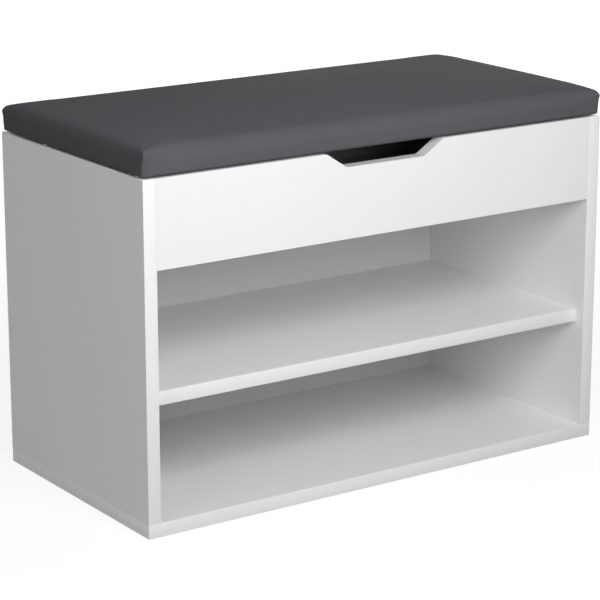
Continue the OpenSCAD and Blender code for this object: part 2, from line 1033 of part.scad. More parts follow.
module seat_foam() {
    color("khaki")
        difference() {
            seat_form(cover_t + foam_gap);
            seat_board_block(foam_gap);
        }
}

module seat_cover() {
    reach_x = half_w - hem_w;
    reach_y = half_d - hem_w;
    color([0.32, 0.33, 0.34])
        difference() {
            seat_form(0);
            seat_form(cover_t);
            block([-reach_x, -reach_y, seat_z - cut], [reach_x, reach_y, seat_z + cover_t + cut]);
            seat_screw_holes();
        }
}

module seat_lining() {
    reach_x = half_w - lining_inset;
    reach_y = half_d - lining_inset;
    color([0.12, 0.12, 0.12])
        block([-reach_x, -reach_y, seat_z - lining_t], [reach_x, reach_y, seat_z]);
}

// A staple along X, its crown below the origin and its legs up in the board
module staple(crown_z) {
    translate([0, 0, crown_z - staple_wire])
        block([-staple_w / 2, -staple_wire / 2, 0], [staple_w / 2, staple_wire / 2, staple_wire]);
    for (x = [-staple_w / 2, staple_w / 2 - staple_wire])
        translate([x, -staple_wire / 2, crown_z - staple_wire])
            cube([staple_wire, staple_wire, staple_wire + staple_leg]);
}

// Children along the front, rear and end rows of a rectangle, turned along each row
module along_hem(inset, step) {
    reach_x = half_w - inset;
    reach_y = half_d - inset;
    per_x = floor((2 * reach_x - step) / step);
    per_y = floor((2 * reach_y - step / 2) / step);
    for (i = [0 : per_x], side = [-1, 1]) {
        x = (i - per_x / 2) * step;
        free = side < 0 || abs(abs(x) - hinge_x) > hinge_w / 2 + staple_w;
        if (free)
            translate([x, side * reach_y, 0])
                children();
    }
    for (i = [0 : per_y], side = [-1, 1]) {
        y = (i - per_y / 2) * step;
        free = side < 0 || abs(y - stay_seat[0]) > flange_w / 2 + staple_w;
        if (free)
            translate([side * reach_x, y, 0])
                rotate([0, 0, 90])
                    children();
    }
}

module cover_staples() {
    color(STEEL)
        along_hem(hem_staple_inset, hem_staple_step)
            staple(seat_z);
}

module lining_staples() {
    color(STEEL)
        along_hem(lining_inset + lining_staple_row, lining_staple_step)
            staple(seat_z - lining_t);
}

// ---------- output ----------

base_panel();
base_edge_bands();
left_side_panel();
left_panel_edge_bands();
right_side_panel();
right_panel_edge_bands();
shoe_shelf();
shelf_edge_band();
storage_floor();
front_panel();
front_panel_edge_band();
rear_rail();
back_panel();
wooden_dowels();
cam_bolts();
cam_locks();
confirmat_screws();
lid_bumpers();
left_hinge_rail_leaf();
right_hinge_rail_leaf();
hinge_pins();
rail_leaf_screws();
left_hinge_seat_leaf();
right_hinge_seat_leaf();
seat_leaf_screws();
stay_wall_bracket();
stay_wall_screws();
stay_wall_rivet();
stay_lower_bar();
stay_knee_rivet();
stay_upper_bar();
stay_seat_bracket();
stay_seat_screws();
stay_seat_rivet();
seat_board();
seat_foam();
seat_cover();
seat_lining();
cover_staples();
lining_staples();
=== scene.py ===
# %% [markdown]
# # Dressing an entryway bench
#
# The bench arrives as a finished construction: boards, dowels, cams, hinges and a stay, all in
# metres and all in place. This lesson gives every piece its finish, and builds the soft parts of
# the seat, which a plain solid can't show. The construction could be copied by hand, but then the
# two would drift apart, so the frame is loaded and only materials and soft pieces are added to it.

import math

import bmesh
import bpy
import numpy as np
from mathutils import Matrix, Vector


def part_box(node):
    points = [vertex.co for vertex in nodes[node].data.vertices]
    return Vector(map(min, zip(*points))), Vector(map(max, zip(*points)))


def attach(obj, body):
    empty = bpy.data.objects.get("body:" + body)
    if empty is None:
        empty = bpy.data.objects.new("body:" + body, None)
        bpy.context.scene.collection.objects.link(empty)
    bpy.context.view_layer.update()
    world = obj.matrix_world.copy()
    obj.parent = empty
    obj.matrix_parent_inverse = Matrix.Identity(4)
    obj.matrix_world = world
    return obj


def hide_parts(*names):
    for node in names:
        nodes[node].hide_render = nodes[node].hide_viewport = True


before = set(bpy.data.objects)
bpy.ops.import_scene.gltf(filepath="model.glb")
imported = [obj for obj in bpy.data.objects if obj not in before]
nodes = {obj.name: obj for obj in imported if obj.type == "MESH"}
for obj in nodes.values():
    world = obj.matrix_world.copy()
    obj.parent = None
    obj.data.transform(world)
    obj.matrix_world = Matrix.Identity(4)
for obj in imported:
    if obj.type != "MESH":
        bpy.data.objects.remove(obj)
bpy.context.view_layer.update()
MM = 0.001

# %% [markdown]
# ## The sizes that the soft parts need
#
# The cover and the foam have to meet the seat board exactly. Their sizes could be typed in again,
# but reading them from the boxes of the nodes keeps one source.

# %% Sizes from the frame
cover_low, cover_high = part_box("seat_cover")
board_low, board_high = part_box("seat_board")
half_width = cover_high.x
half_depth = cover_high.y
seat_level = cover_low.z
crown_level = cover_high.z
print("half width, half depth:", round(half_width, 4), round(half_depth, 4))
print("the seat lies at", round(seat_level, 4), "and its crown reaches", round(crown_level, 4))

# %% [markdown]
# ## The camera
#
# A bench for the hall is shown from a little above, with its left end turned towards the viewer,
# so that the seat, the front and one end all show. A long lens from over two metres away keeps
# the uprights nearly parallel. The place and the aim are given as a point and two angles, because
# those stay readable when the framing is nudged.

# %% The camera
CAMERA_AT = Vector((-1.465, -2.125, 0.888))
CAMERA_YAW = 0.601
CAMERA_PITCH = -0.269
LENS_MM = 141.7
MIDDLE = Vector((0.0, 0.0, 0.2))

aim = Vector((
    math.sin(CAMERA_YAW) * math.cos(CAMERA_PITCH),
    math.cos(CAMERA_YAW) * math.cos(CAMERA_PITCH),
    math.sin(CAMERA_PITCH),
))
camera = bpy.data.objects.new("camera", bpy.data.cameras.new("camera"))
bpy.context.scene.collection.objects.link(camera)
camera.data.lens = LENS_MM
camera.location = CAMERA_AT
camera.rotation_euler = aim.to_track_quat("-Z", "Y").to_euler()
bpy.context.scene.camera = camera
print("the camera stands", round((CAMERA_AT - MIDDLE).length, 2), "m from the bench's middle")

# %% [markdown]
# ## Writing shader maths as Python
#
# Wiring nodes by hand hides the idea of a material among the wires. One small class wraps an
# output socket, so that `1.0 - mask * 0.3` adds the Math nodes by itself. Colours go through Mix
# and Vector Math, because a Math node would turn them grey. Every other node comes from one
# function, which sets the node up first and then fills its sockets.


# %% The socket class
class Sock:
    """One output socket of a material's node tree."""

    def __init__(self, tree, out):
        self.tree = tree
        self.out = out

    def math(self, operation, *others):
        """A Math node that starts from this socket."""
        return node(self.tree, "ShaderNodeMath", {"operation": operation}, [self, *others])

    def __add__(self, other):
        return self.math("ADD", other)

    def __radd__(self, other):
        return self + other

    def __sub__(self, other):
        return self.math("SUBTRACT", other)

    def __rsub__(self, other):
        return node(self.tree, "ShaderNodeMath", {"operation": "SUBTRACT"}, [other, self])

    def __mul__(self, other):
        return self.math("MULTIPLY", other)

    def __rmul__(self, other):
        return self * other

    def __gt__(self, other):
        return self.math("GREATER_THAN", other)

    def __lt__(self, other):
        return self.math("LESS_THAN", other)


def node(tree, kind, settings, inputs, output=0):
    """Adds a node, sets its settings first, then its sockets, and wraps one output."""
    made = tree.nodes.new(kind)
    for name, value in settings.items():
        if name == "stops":
            set_stops(made.color_ramp, value)
        else:
            setattr(made, name, value)
    pairs = inputs.items() if isinstance(inputs, dict) else enumerate(inputs)
    for key, value in pairs:
        if isinstance(value, Sock):
            tree.links.new(value.out, made.inputs[key])
        else:
            made.inputs[key].default_value = value
    return Sock(tree, made.outputs[output])


def set_stops(ramp, stops):
    """Gives a colour ramp the stops (place, colour)."""
    while len(ramp.elements) < len(stops):
        ramp.elements.new(1.0)
    for element, (place, colour) in zip(ramp.elements, stops):
        element.position = place
        element.color = (*colour, 1.0)


print("a socket understands:", [name for name, made in vars(Sock).items() if callable(made)])

# %% [markdown]
# ## Colours and shares
#
# A finish is written in the colours of a screen, since that is how a maker reads them off a
# sample, but light adds up in its own scale, so each channel is turned into light first. Two small
# helpers for numbers, one that mixes by a share and one that sets a range, keep the recipes short.

# %% Colours and shares
SRGB_KNEE = 0.04045
SRGB_SLOPE = 12.92
SRGB_OFFSET = 0.055
SRGB_POWER = 2.4
FULL = 255


def linear(value):
    """One channel of a screen colour, 0 to 1, as light."""
    if value <= SRGB_KNEE:
        return value / SRGB_SLOPE
    return ((value + SRGB_OFFSET) / (1 + SRGB_OFFSET)) ** SRGB_POWER


def tone(red, green, blue):
    """A colour given as on a screen, 0 to 255, as light."""
    return tuple(linear(channel / FULL) for channel in (red, green, blue))


def blend(first, share, second):
    """The first number by its share, and the second by the rest."""
    return first * share + second * (1.0 - share)


def between(value, low, high):
    """A value from 0 to 1, moved to the range from low to high."""
    return value * (high - low) + low


print("a mid grey of 128 is", [round(channel, 3) for channel in tone(128, 128, 128)], "as light")

# %% [markdown]
# ## The tools of a finish
#
# Nearly every finish is a colour that drifts a little, a roughness that drifts with it, and a
# fine relief. They could be repeated in each material, but a `Finish` keeps the node tree, the
# object's own coordinates and the usual textures in one place. The coordinates are the object's
# and not the room's, so the grain stays put when the lid opens. Patterns are sized by how many
# of their cells fit in a metre.


# %% The finish class
# A Mix node has a set of sockets for each kind of value, so those for colours are named by place.
MIX_FACTOR, COLOUR_A, COLOUR_B = 0, 6, 7
COLOUR_OUT = 2


class Finish:
    """A material under construction."""

    def __init__(self, name, **constants):
        self.material = bpy.data.materials.new(name)
        self.material.use_nodes = True
        self.tree = self.material.node_tree
        self.shader = self.tree.nodes["Principled BSDF"]
        for label, value in constants.items():
            self.shader.inputs[label.replace("_", " ")].default_value = value
        self.place = self.add("ShaderNodeTexCoord", output="Object")

    def add(self, kind, settings=None, inputs=None, output=0):
        """Any node, in this material's tree."""
        return node(self.tree, kind, settings or {}, inputs or {}, output)

    def part(self, vector, index):
        """One of the three numbers of a vector or a colour."""
        return self.add("ShaderNodeSeparateXYZ", {}, {0: vector}, index)

    def axis(self, index):
        """One coordinate of the point, in metres."""
        return self.part(self.place, index)

    def stretched(self, x, y, z):
        """The point's place, scaled along each axis, for grain that runs one way."""
        settings = {"operation": "MULTIPLY"}
        return self.add("ShaderNodeVectorMath", settings, {0: self.place, 1: (x, y, z)})

    def noise(self, per_metre=1.0, detail=2.0, rough=0.5, at=None):
        """A soft noise, 0 to 1; a stretched place already holds its size."""
        inputs = {"Vector": at or self.place, "Scale": per_metre, "Detail": detail, "Roughness": rough}
        return self.add("ShaderNodeTexNoise", {}, inputs, "Fac")

    def cells(self, per_metre=1.0, feature="F1", at=None, output="Distance"):
        """Scattered cells: how far each point is from a cell's middle, or its edge."""
        inputs = {"Vector": at or self.place, "Scale": per_metre}
        return self.add("ShaderNodeTexVoronoi", {"feature": feature}, inputs, output)

    def ramp(self, value, *stops):
        """A colour for each value, between stops of a place and a colour."""
        return self.add("ShaderNodeValToRGB", {"stops": stops}, {0: value})

    def mix(self, factor, first, second):
        """The first colour where the factor is 0, and the second where it is 1."""
        first = (*first, 1.0) if isinstance(first, tuple) else first
        second = (*second, 1.0) if isinstance(second, tuple) else second
        inputs = {MIX_FACTOR: factor, COLOUR_A: first, COLOUR_B: second}
        return self.add("ShaderNodeMix", {"data_type": "RGBA"}, inputs, COLOUR_OUT)

    def spread(self, value, low, high, to_low, to_high):
        """The value, moved from one range to another and kept in it."""
        return self.add("ShaderNodeMapRange", {}, [value, low, high, to_low, to_high])

    def within(self, index, low, high):
        """1 where the coordinate lies between low and high, else 0."""
        place = self.axis(index)
        return (place > low) * (place < high)

    def relief(self, height, depth, strength=1.0, under=None):
        """A bump of that depth in metres, on top of the one under it, if any."""
        inputs = {"Strength": strength, "Distance": depth, "Height": height}
        if under is not None:
            inputs["Normal"] = under
        return self.add("ShaderNodeBump", {}, inputs)

    def done(self, colour, roughness, normal):
        """Links what varies over the surface, and gives the finished material."""
        for label, value in (("Base Color", colour), ("Roughness", roughness), ("Normal", normal)):
            self.tree.links.new(value.out, self.shader.inputs[label])
        return self.material


print("a finish can:", [name for name in vars(Finish) if not name.startswith("_")])

# %% [markdown]
# ## The stage
#
# The floor and the room are white, and the lamps are soft. A white floor that is only lit stays
# grey, and more light would bleach the bench. So the floor adds a glow of its own, which only the
# camera, glossy and see-through rays find: the shadow under the bench stays, and the boards get
# their light from the lamps alone. The world does the same: it is white where it is seen, and
# lights the bench only a little.


# %% The white room
AMBIENT = 0.27


def white_room_rays(tree):
    """1 for camera, glossy and transmission rays, 0 for the rays that carry light."""
    ray = {}
    for label in ("Is Camera Ray", "Is Glossy Ray", "Is Transmission Ray"):
        ray[label] = node(tree, "ShaderNodeLightPath", {}, {}, label)
    seen = ray["Is Camera Ray"].math("MAXIMUM", ray["Is Glossy Ray"])
    return seen.math("MAXIMUM", ray["Is Transmission Ray"])


world = bpy.data.worlds.new("white_room")
bpy.context.scene.world = world
world.use_nodes = True
sky = world.node_tree
brightness = between(white_room_rays(sky), AMBIENT, 1.0)
sky.links.new(brightness.out, sky.nodes["Background"].inputs["Color"])
print("the room is seen as white and lights the bench with", AMBIENT)

# %% The floor
FLOOR_SIZE = 12.0
FLOOR_GAP = 0.2 * MM
FLOOR_WHITE = 0.28
SEEN_WHITE = 0.2
SPECKLE = {"Scale": 30.0, "Detail": 3.0}
SPECKLE_DEPTH = 0.02
GLOW = (0.84, 1.0)
GLOW_EDGES = (0.45, 2.2)
MATT = {"Roughness": 1.0, "Specular IOR Level": 0.0}


def floor_material():
    """A pale floor, whose glow only the camera, glossy and see-through rays find."""
    material = bpy.data.materials.new("pale_floor")
    material.use_nodes = True
    tree = material.node_tree
    tree.nodes.remove(tree.nodes["Principled BSDF"])
    place = node(tree, "ShaderNodeTexCoord", {}, {}, "Object")
    away = node(tree, "ShaderNodeVectorMath", {"operation": "LENGTH"}, [place], "Value")
    glow = node(tree, "ShaderNodeMapRange", {}, [away, *GLOW_EDGES, *GLOW])
    speckle = node(tree, "ShaderNodeTexNoise", {}, SPECKLE, "Fac") * SPECKLE_DEPTH
    unseen = {"Base Color": speckle + FLOOR_WHITE, **MATT}
    lit = node(tree, "ShaderNodeBsdfPrincipled", {}, unseen)
    seen = {"Base Color": speckle + SEEN_WHITE, "Emission Color": glow, "Emission Strength": 1.0, **MATT}
    bright = node(tree, "ShaderNodeBsdfPrincipled", {}, seen)
    both = node(tree, "ShaderNodeMixShader", {}, [white_room_rays(tree), lit, bright])
    tree.links.new(both.out, tree.nodes["Material Output"].inputs["Surface"])
    return material


bpy.ops.mesh.primitive_plane_add(size=FLOOR_SIZE, location=(0, 0, -FLOOR_GAP))
floor = bpy.context.object
floor.name = "floor"
floor.data.materials.append(floor_material())
print("floor:", FLOOR_SIZE, "m wide,", FLOOR_GAP / MM, "mm under the base")

# %% The lamps
LAMPS = {
    "key": {"at": Vector((-0.25, -1.15, 0.9)), "size": 0.8, "watts": 12.7},
    "left": {"at": Vector((-1.75, -0.75, 0.5)), "size": 0.9, "watts": 3.5},
    "rear": {"at": Vector((1.7, 1.7, 0.6)), "size": 1.3, "watts": 11.5},
}

for name, lamp in LAMPS.items():
    light = bpy.data.objects.new(name, bpy.data.lights.new(name, "AREA"))
    bpy.context.scene.collection.objects.link(light)
    light.data.shape = "DISK"
    light.data.size = lamp["size"]
    light.data.energy = lamp["watts"]
    light.location = lamp["at"]
    light.rotation_euler = (MIDDLE - lamp["at"]).to_track_quat("-Z", "Y").to_euler()
    light.visible_camera = False

bpy.context.scene.view_settings.view_transform = "Standard"
print("lamps, in watts:", {name: lamp["watts"] for name, lamp in LAMPS.items()})

# %% [markdown]
# ## Chipboard
#
# Under its film each board is chipboard: flakes of wood pressed with glue, pale where a flake
# lies flat and dark where it is cut across. It shows where a board is drilled, grooved or left
# without a strip. A picture of chips could be used, but cells of three sizes, coloured by one
# ramp, give the same look at any distance.


# %% Chipboard core
CHIP_DEPTH = 0.25 * MM
FLAKE_SHARE = 0.6


def chips(finish):
    """The colour and the height of pressed wood chips."""
    flakes = finish.cells(per_metre=420.0, output="Color")
    height = finish.cells(per_metre=900.0)
    dust = finish.noise(per_metre=2500.0, detail=4.0)
    shade = blend(finish.part(flakes, 0), FLAKE_SHARE, dust)
    colour = finish.ramp(
        shade,
        (0.0, tone(150, 112, 70)),
        (0.45, tone(196, 160, 112)),
        (1.0, tone(226, 200, 158)),
    )
    return colour, height


print("the chips stand out by up to", CHIP_DEPTH / MM, "mm")

# %% [markdown]
# ## Coated boards
#
# The white is a melamine film: printed paper pressed against a lightly pearled plate, so it
# shines softly and isn't quite flat. Two materials could be given to each board, one for its
# faces and one for its cuts. But the place of a point already says which it is: inside the
# board's thickness it is core, and on its faces it is film.

# %% The melamine film
X, Y, Z = range(3)
FILM_WHITE = tone(240, 240, 240)
FILM_DIM = tone(237, 237, 238)
FILM_THICKNESS = 0.25 * MM
FILM_ROUGH = (0.38, 0.46)
CORE_ROUGHER = 0.43
PEARL_DEPTH = 0.02 * MM
GRIP = (-84 * MM, 84 * MM)
GRIP_DEPTH = 20 * MM


def coated(name, node_name, axis, wrapped_top):
    """White film on the two faces across an axis, and core between them.

    A wrapped top has film over its upper edge as well, and in the grip that is cut into it.
    """
    finish = Finish(name)
    low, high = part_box(node_name)
    core = finish.within(axis, low[axis] + FILM_THICKNESS, high[axis] - FILM_THICKNESS)
    if wrapped_top:
        grip = finish.within(X, *GRIP) * (finish.axis(Z) > high.z - GRIP_DEPTH)
        core = core * (finish.axis(Z) < high.z - FILM_THICKNESS) * (1.0 - grip)
    cloud = finish.noise(per_metre=9.0, detail=3.0)
    pearl = finish.noise(per_metre=1400.0)
    film = finish.mix(cloud, FILM_DIM, FILM_WHITE)
    chip_colour, chip_height = chips(finish)
    rough = between(pearl, *FILM_ROUGH) + core * CORE_ROUGHER
    bump = finish.relief(chip_height * core, CHIP_DEPTH)
    bump = finish.relief(pearl, PEARL_DEPTH, strength=0.5, under=bump)
    return finish.done(finish.mix(core, film, chip_colour), rough, bump)


def dress(node_name, material):
    """Gives a CAD node's object one material."""
    data = nodes[node_name].data
    data.materials.clear()
    data.materials.append(material)


BOARDS = {
    "base_panel": Z,
    "left_side_panel": X,
    "right_side_panel": X,
    "shoe_shelf": Z,
    "storage_floor": Z,
    "front_panel": Y,
    "rear_rail": Y,
}
for board, axis in BOARDS.items():
    dress(board, coated(board + "_coating", board, axis, wrapped_top=axis == Y))
print("coated boards:", len(BOARDS))

# %% [markdown]
# ## The back of the bays
#
# The back is a thin hardboard, painted white where it faces the bays and left brown behind. Its
# rear shows the mesh of the press. One material does both, told apart by the depth of the point.


# %% Hardboard
PAINT_ROUGH = 0.5
BARE_ROUGHER = 0.3
MESH_DEPTH = 0.2 * MM
FIBRE_DEPTH = 0.03 * MM


def hardboard():
    finish = Finish("white_hardboard_finish")
    low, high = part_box("back_panel")
    rear = finish.axis(Y) > (low.y + high.y) / 2
    fibres = finish.noise(detail=5.0, rough=0.6, at=finish.stretched(500.0, 500.0, 900.0))
    brown = finish.ramp(fibres, (0.25, tone(96, 62, 38)), (0.75, tone(146, 103, 66)))
    mesh = finish.cells(per_metre=1100.0)
    cloud = finish.noise(per_metre=14.0, detail=3.0)
    white = finish.mix(cloud, tone(232, 232, 232), tone(236, 236, 236))
    bump = finish.relief(mesh * rear, MESH_DEPTH)
    bump = finish.relief(fibres, FIBRE_DEPTH, strength=0.4, under=bump)
    return finish.done(finish.mix(rear, white, brown), rear * BARE_ROUGHER + PAINT_ROUGH, bump)


dress("back_panel", hardboard())
back_low, back_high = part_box("back_panel")
print("the back is", round((back_high.y - back_low.y) / MM, 2), "mm thick")

# %% [markdown]
# ## Strips on the edges
#
# Every edge that shows is closed with a strip of plastic, ironed on and trimmed with a small
# radius. That radius is what the eye catches: a bright line along the base, and a thin shadow
# where a strip meets its neighbour. The construction holds the strips as square bars, so each is
# rebuilt here as a bar with softened edges, in the same place.


# %% Softened bars
CUBE_HALF = 0.5
ROUND_STEPS = 3


def new_piece(name, mesh, material, body):
    """Links a mesh as a piece of the bench, which moves with a body."""
    piece = bpy.data.objects.new(name, mesh)
    bpy.context.scene.collection.objects.link(piece)
    mesh.materials.clear()
    mesh.materials.append(material)
    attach(piece, body)
    return piece


def eased_bar(name, low, high, ease):
    """A bar between two corners, with rounded edges, shaded smooth across the rounding."""
    work = bmesh.new()
    bmesh.ops.create_cube(work, size=2 * CUBE_HALF)
    for vertex in work.verts:
        for k in range(3):
            vertex.co[k] = low[k] + (vertex.co[k] + CUBE_HALF) * (high[k] - low[k])
    edges = list(work.edges)
    bmesh.ops.bevel(work, geom=edges, offset=ease, segments=ROUND_STEPS, profile=0.5, affect="EDGES")
    mesh = bpy.data.meshes.new(name)
    work.to_mesh(mesh)
    work.free()
    mesh.shade_smooth()
    mesh.set_sharp_from_angle(angle=math.radians(60))
    return mesh


strip_low, strip_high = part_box("front_panel_edge_band")
band_thickness = strip_high.z - strip_low.z
print("strip thickness:", round(band_thickness / MM, 2), "mm")


# %% The strip's plastic
STRIP_ROUGH = (0.32, 0.42)
DRAG_DEPTH = 0.01 * MM


def strip_plastic():
    """A satin plastic with the faint drag of the trimming knife along it."""
    finish = Finish("edge_strip_plastic")
    drag = finish.noise(at=finish.stretched(60.0, 1500.0, 1500.0))
    cloud = finish.noise(per_metre=7.0)
    colour = finish.mix(cloud, tone(238, 238, 238), tone(242, 242, 242))
    return finish.done(colour, between(drag, *STRIP_ROUGH), finish.relief(drag, DRAG_DEPTH))


STRIP = strip_plastic()
print("the strips' roughness runs from", STRIP_ROUGH[0], "to", STRIP_ROUGH[1])

# %% Lay the strips
EASE_SHARE = 0.49


def strip(name, replaced, low, high):
    """One strip, which stands for the square one in the frame."""
    bar = eased_bar(name, low, high, band_thickness * EASE_SHARE)
    piece = new_piece(name, bar, STRIP, "carcass")
    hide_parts(replaced)


base_low, base_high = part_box("base_edge_bands")
behind_strip = base_low.y + band_thickness
strip("base_front_strip", "base_edge_bands", base_low, (base_high.x, behind_strip, base_high.z))
for side, sign in (("left", -1), ("right", 1)):
    near, far = sorted((sign * half_width, sign * (half_width - band_thickness)))
    end_low, end_high = (near, behind_strip, base_low.z), (far, base_high.y, base_high.z)
    strip(f"base_{side}_strip", "base_edge_bands", end_low, end_high)
    panel_bands = f"{side}_panel_edge_bands"
    low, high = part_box(panel_bands)
    behind, under = low.y + band_thickness, high.z - band_thickness
    strip(f"{side}_panel_front_strip", panel_bands, low, (high.x, behind, high.z))
    strip(f"{side}_panel_top_strip", panel_bands, (low.x, behind, under), high)
strip("shelf_front_strip", "shelf_edge_band", *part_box("shelf_edge_band"))
strip("front_panel_lower_strip", "front_panel_edge_band", strip_low, strip_high)

# %% [markdown]
# ## Wood and metal inside
#
# Dowels are turned beech, with grain along their length. Screws and cam bolts are zinc plated,
# the cams are cast zinc, the hinges are rolled steel with a nickel bath, and the stay is brushed.
# A metal that is one even grey looks like plastic, so each gets the marks of how it was made:
# turning lines, a cast skin, or a brushed drag.


# %% Beech
GRAIN_DEPTH = 0.05 * MM
BEECH_ROUGH = (0.5, 0.7)
FLECK_SIZE = 0.2
FLECK_SHARE = 0.35


def beech():
    """Pale wood with long grain and short dark flecks."""
    finish = Finish("beech_finish")
    grain = finish.noise(detail=4.0, rough=0.6, at=finish.stretched(60.0, 900.0, 900.0))
    flecks = finish.cells(at=finish.stretched(300.0, 1800.0, 1800.0))
    colour = finish.ramp(grain, (0.2, tone(186, 142, 96)), (0.8, tone(222, 186, 140)))
    colour = finish.mix((flecks < FLECK_SIZE) * FLECK_SHARE, colour, tone(150, 104, 66))
    return finish.done(colour, between(grain, *BEECH_ROUGH), finish.relief(grain, GRAIN_DEPTH))


dress("wooden_dowels", beech())
print("the dowels' roughness runs from", BEECH_ROUGH[0], "to", BEECH_ROUGH[1])

# %% The metals and their pieces
METALS = {
    "zinc_plate_turned": {
        "tones": (tone(140, 143, 148), tone(178, 180, 184)),
        "roughness": 0.28,
        "grain": (900.0, 270.0, 270.0),
        "depth": 0.01 * MM,
        "nodes": ("cam_bolts", "confirmat_screws", "rail_leaf_screws", "seat_leaf_screws",
                  "stay_wall_screws", "stay_seat_screws"),
    },
    "cast_zinc": {
        "tones": (tone(112, 114, 118), tone(146, 148, 150)),
        "roughness": 0.5,
        "grain": (1400.0, 1400.0, 1400.0),
        "depth": 0.04 * MM,
        "nodes": ("cam_locks",),
    },
    "rolled_steel": {
        "tones": (tone(132, 132, 130), tone(166, 166, 164)),
        "roughness": 0.3,
        "grain": (75.0, 1500.0, 1500.0),
        "depth": 0.01 * MM,
        "nodes": ("hinge_pins", "left_hinge_rail_leaf", "right_hinge_rail_leaf",
                  "left_hinge_seat_leaf", "right_hinge_seat_leaf"),
    },
    "brushed_steel": {
        "tones": (tone(124, 126, 128), tone(160, 161, 163)),
        "roughness": 0.34,
        "grain": (2200.0, 130.0, 1300.0),
        "depth": 0.015 * MM,
        "nodes": ("stay_lower_bar", "stay_upper_bar", "stay_wall_bracket", "stay_seat_bracket",
                  "stay_wall_rivet", "stay_seat_rivet", "stay_knee_rivet"),
    },
    "staple_steel": {
        "tones": (tone(140, 142, 144), tone(182, 182, 182)),
        "roughness": 0.3,
        "grain": (500.0, 500.0, 2500.0),
        "depth": 0.01 * MM,
        "nodes": ("cover_staples", "lining_staples"),
    },
}
print("metals:", {name: len(made["nodes"]) for name, made in METALS.items()})

# %% Dress the metal pieces
STREAK_SHARE = 0.6
ROUGH_DRIFT = 0.08


def metal(name, made):
    """A metal whose tone, shine and relief drift with its streaks, and its tone with a stain."""
    finish = Finish(name, Metallic=1.0)
    streaks = finish.noise(detail=4.0, rough=0.6, at=finish.stretched(*made["grain"]))
    stain = finish.noise(per_metre=60.0, detail=3.0)
    colour = finish.mix(blend(streaks, STREAK_SHARE, stain), *made["tones"])
    rough = between(streaks, made["roughness"] - ROUGH_DRIFT, made["roughness"] + ROUGH_DRIFT)
    return finish.done(colour, rough, finish.relief(streaks, made["depth"]))


for name, made in METALS.items():
    material = metal(name, made)
    for node_name in made["nodes"]:
        dress(node_name, material)
print("metal nodes dressed:", sum(len(made["nodes"]) for made in METALS.values()))

# %% [markdown]
# ## What the seat lies on and is built on
#
# The closed seat lies on four clear bumpers of soft plastic, stuck on top of the side panels. They
# could be left white, but a little light passes through a real one, so some passes through these.
# The seat board is the same chipboard as the rest without any film, since the cover hides it.


# %% Bumpers and the seat board
BUMPER_ROUGH = (0.15, 0.35)
HAZE_DEPTH = 0.01 * MM
RAW_ROUGH = (0.75, 0.95)


def bumper():
    """A soft clear plastic with a little haze."""
    finish = Finish("clear_bumper_finish", Transmission_Weight=0.2, IOR=1.46)
    haze = finish.noise(per_metre=700.0, detail=3.0)
    colour = finish.mix(haze, tone(228, 231, 232), tone(244, 246, 246))
    return finish.done(colour, between(haze, *BUMPER_ROUGH), finish.relief(haze, HAZE_DEPTH))


def raw_board():
    """Chipboard without a film."""
    finish = Finish("raw_chipboard")
    colour, height = chips(finish)
    return finish.done(colour, between(height, *RAW_ROUGH), finish.relief(height, CHIP_DEPTH))


dress("lid_bumpers", bumper())
dress("seat_board", raw_board())
print("the bare board's roughness runs from", RAW_ROUGH[0], "to", RAW_ROUGH[1])

# %% [markdown]
# ## Leather-look upholstery
#
# The cover is a vinyl sheet with a fine leather grain: flat cushions of skin with creases between
# them, a satin shine, and a charcoal colour that hardly drifts, with painted shade that makes the
# creases a little darker. The grain could be modelled, but it is a tenth of a millimetre deep, so
# it is a bump; the folds at the corners are geometry.


# %% Leatherette
VINYL_DARK = tone(89, 90, 93)
VINYL_LIGHT = tone(96, 97, 100)
CREASE_WIDTH = 0.18
CLOUD_SHARE = 0.7
CREASE_ROUGH, SKIN_ROUGH = 0.7, 0.6
WEAR = 0.3
SKIN_DEPTH = 0.12 * MM
PORE_DEPTH = 0.03 * MM


def leatherette():
    """A charcoal vinyl with the grain of leather pressed into it."""
    finish = Finish("anthracite_leatherette_finish", Specular_IOR_Level=0.005)
    warp = finish.noise(per_metre=260.0)
    creases = finish.cells(per_metre=900.0, feature="DISTANCE_TO_EDGE")
    skin = finish.spread(creases, 0.0, CREASE_WIDTH, 0.0, 1.0)
    pores = finish.noise(per_metre=2600.0)
    cloud = finish.noise(per_metre=11.0, detail=3.0)
    # The colour drifts with the vinyl's own cloudy tone, and the creases are painted darker: painted
    # shade.
    colour = finish.mix(blend(cloud, CLOUD_SHARE, skin), VINYL_DARK, VINYL_LIGHT)
    rough = finish.spread(skin + (warp - 0.5) * WEAR, 0.0, 1.0, CREASE_ROUGH, SKIN_ROUGH)
    bump = finish.relief(skin, SKIN_DEPTH)
    bump = finish.relief(pores, PORE_DEPTH, strength=0.6, under=bump)
    return finish.done(colour, rough, bump)


LEATHERETTE = leatherette()
print("the vinyl's grain is", SKIN_DEPTH / MM, "mm deep")

# %% [markdown]
# ## The padded seat cover
#
# On the real bench one sheet of vinyl is laid over foam and a board, pulled down round the edge
# and stapled underneath. The foam pushes the middle up into a low crown, which falls away towards
# the ends, and the sheet is tight everywhere else. A block with rounded edges would look like
# plastic. So the cover starts as a net of points wrapped round the seat, is blown up as cloth
# with its hem held, and then gets its corner folds.

# %% Sizes of the cover
COVER_THICKNESS = board_low.z - seat_level
SIDE_HEIGHT = 15.0 * MM
TOP_RADIUS = 14.0 * MM
BOTTOM_RADIUS = COVER_THICKNESS + 2.5 * MM
HEM_WIDTH = 52.0 * MM
roll_height = SIDE_HEIGHT + TOP_RADIUS
roll_level = seat_level + roll_height
crown = crown_level - roll_level
print("the vinyl is", round(COVER_THICKNESS / MM, 2), "mm thick")
print("crown over the roll:", round(crown / MM, 2), "mm")

# %% [markdown]
# ## The net round the seat
#
# The net starts as a plain box, ruled by lines in three directions, and each point is then moved
# to its place on the seat. Lines at even steps would be simpler, but the sheet bends only near its
# edges and corners, so the lines stand close together there and wide apart in the middle.

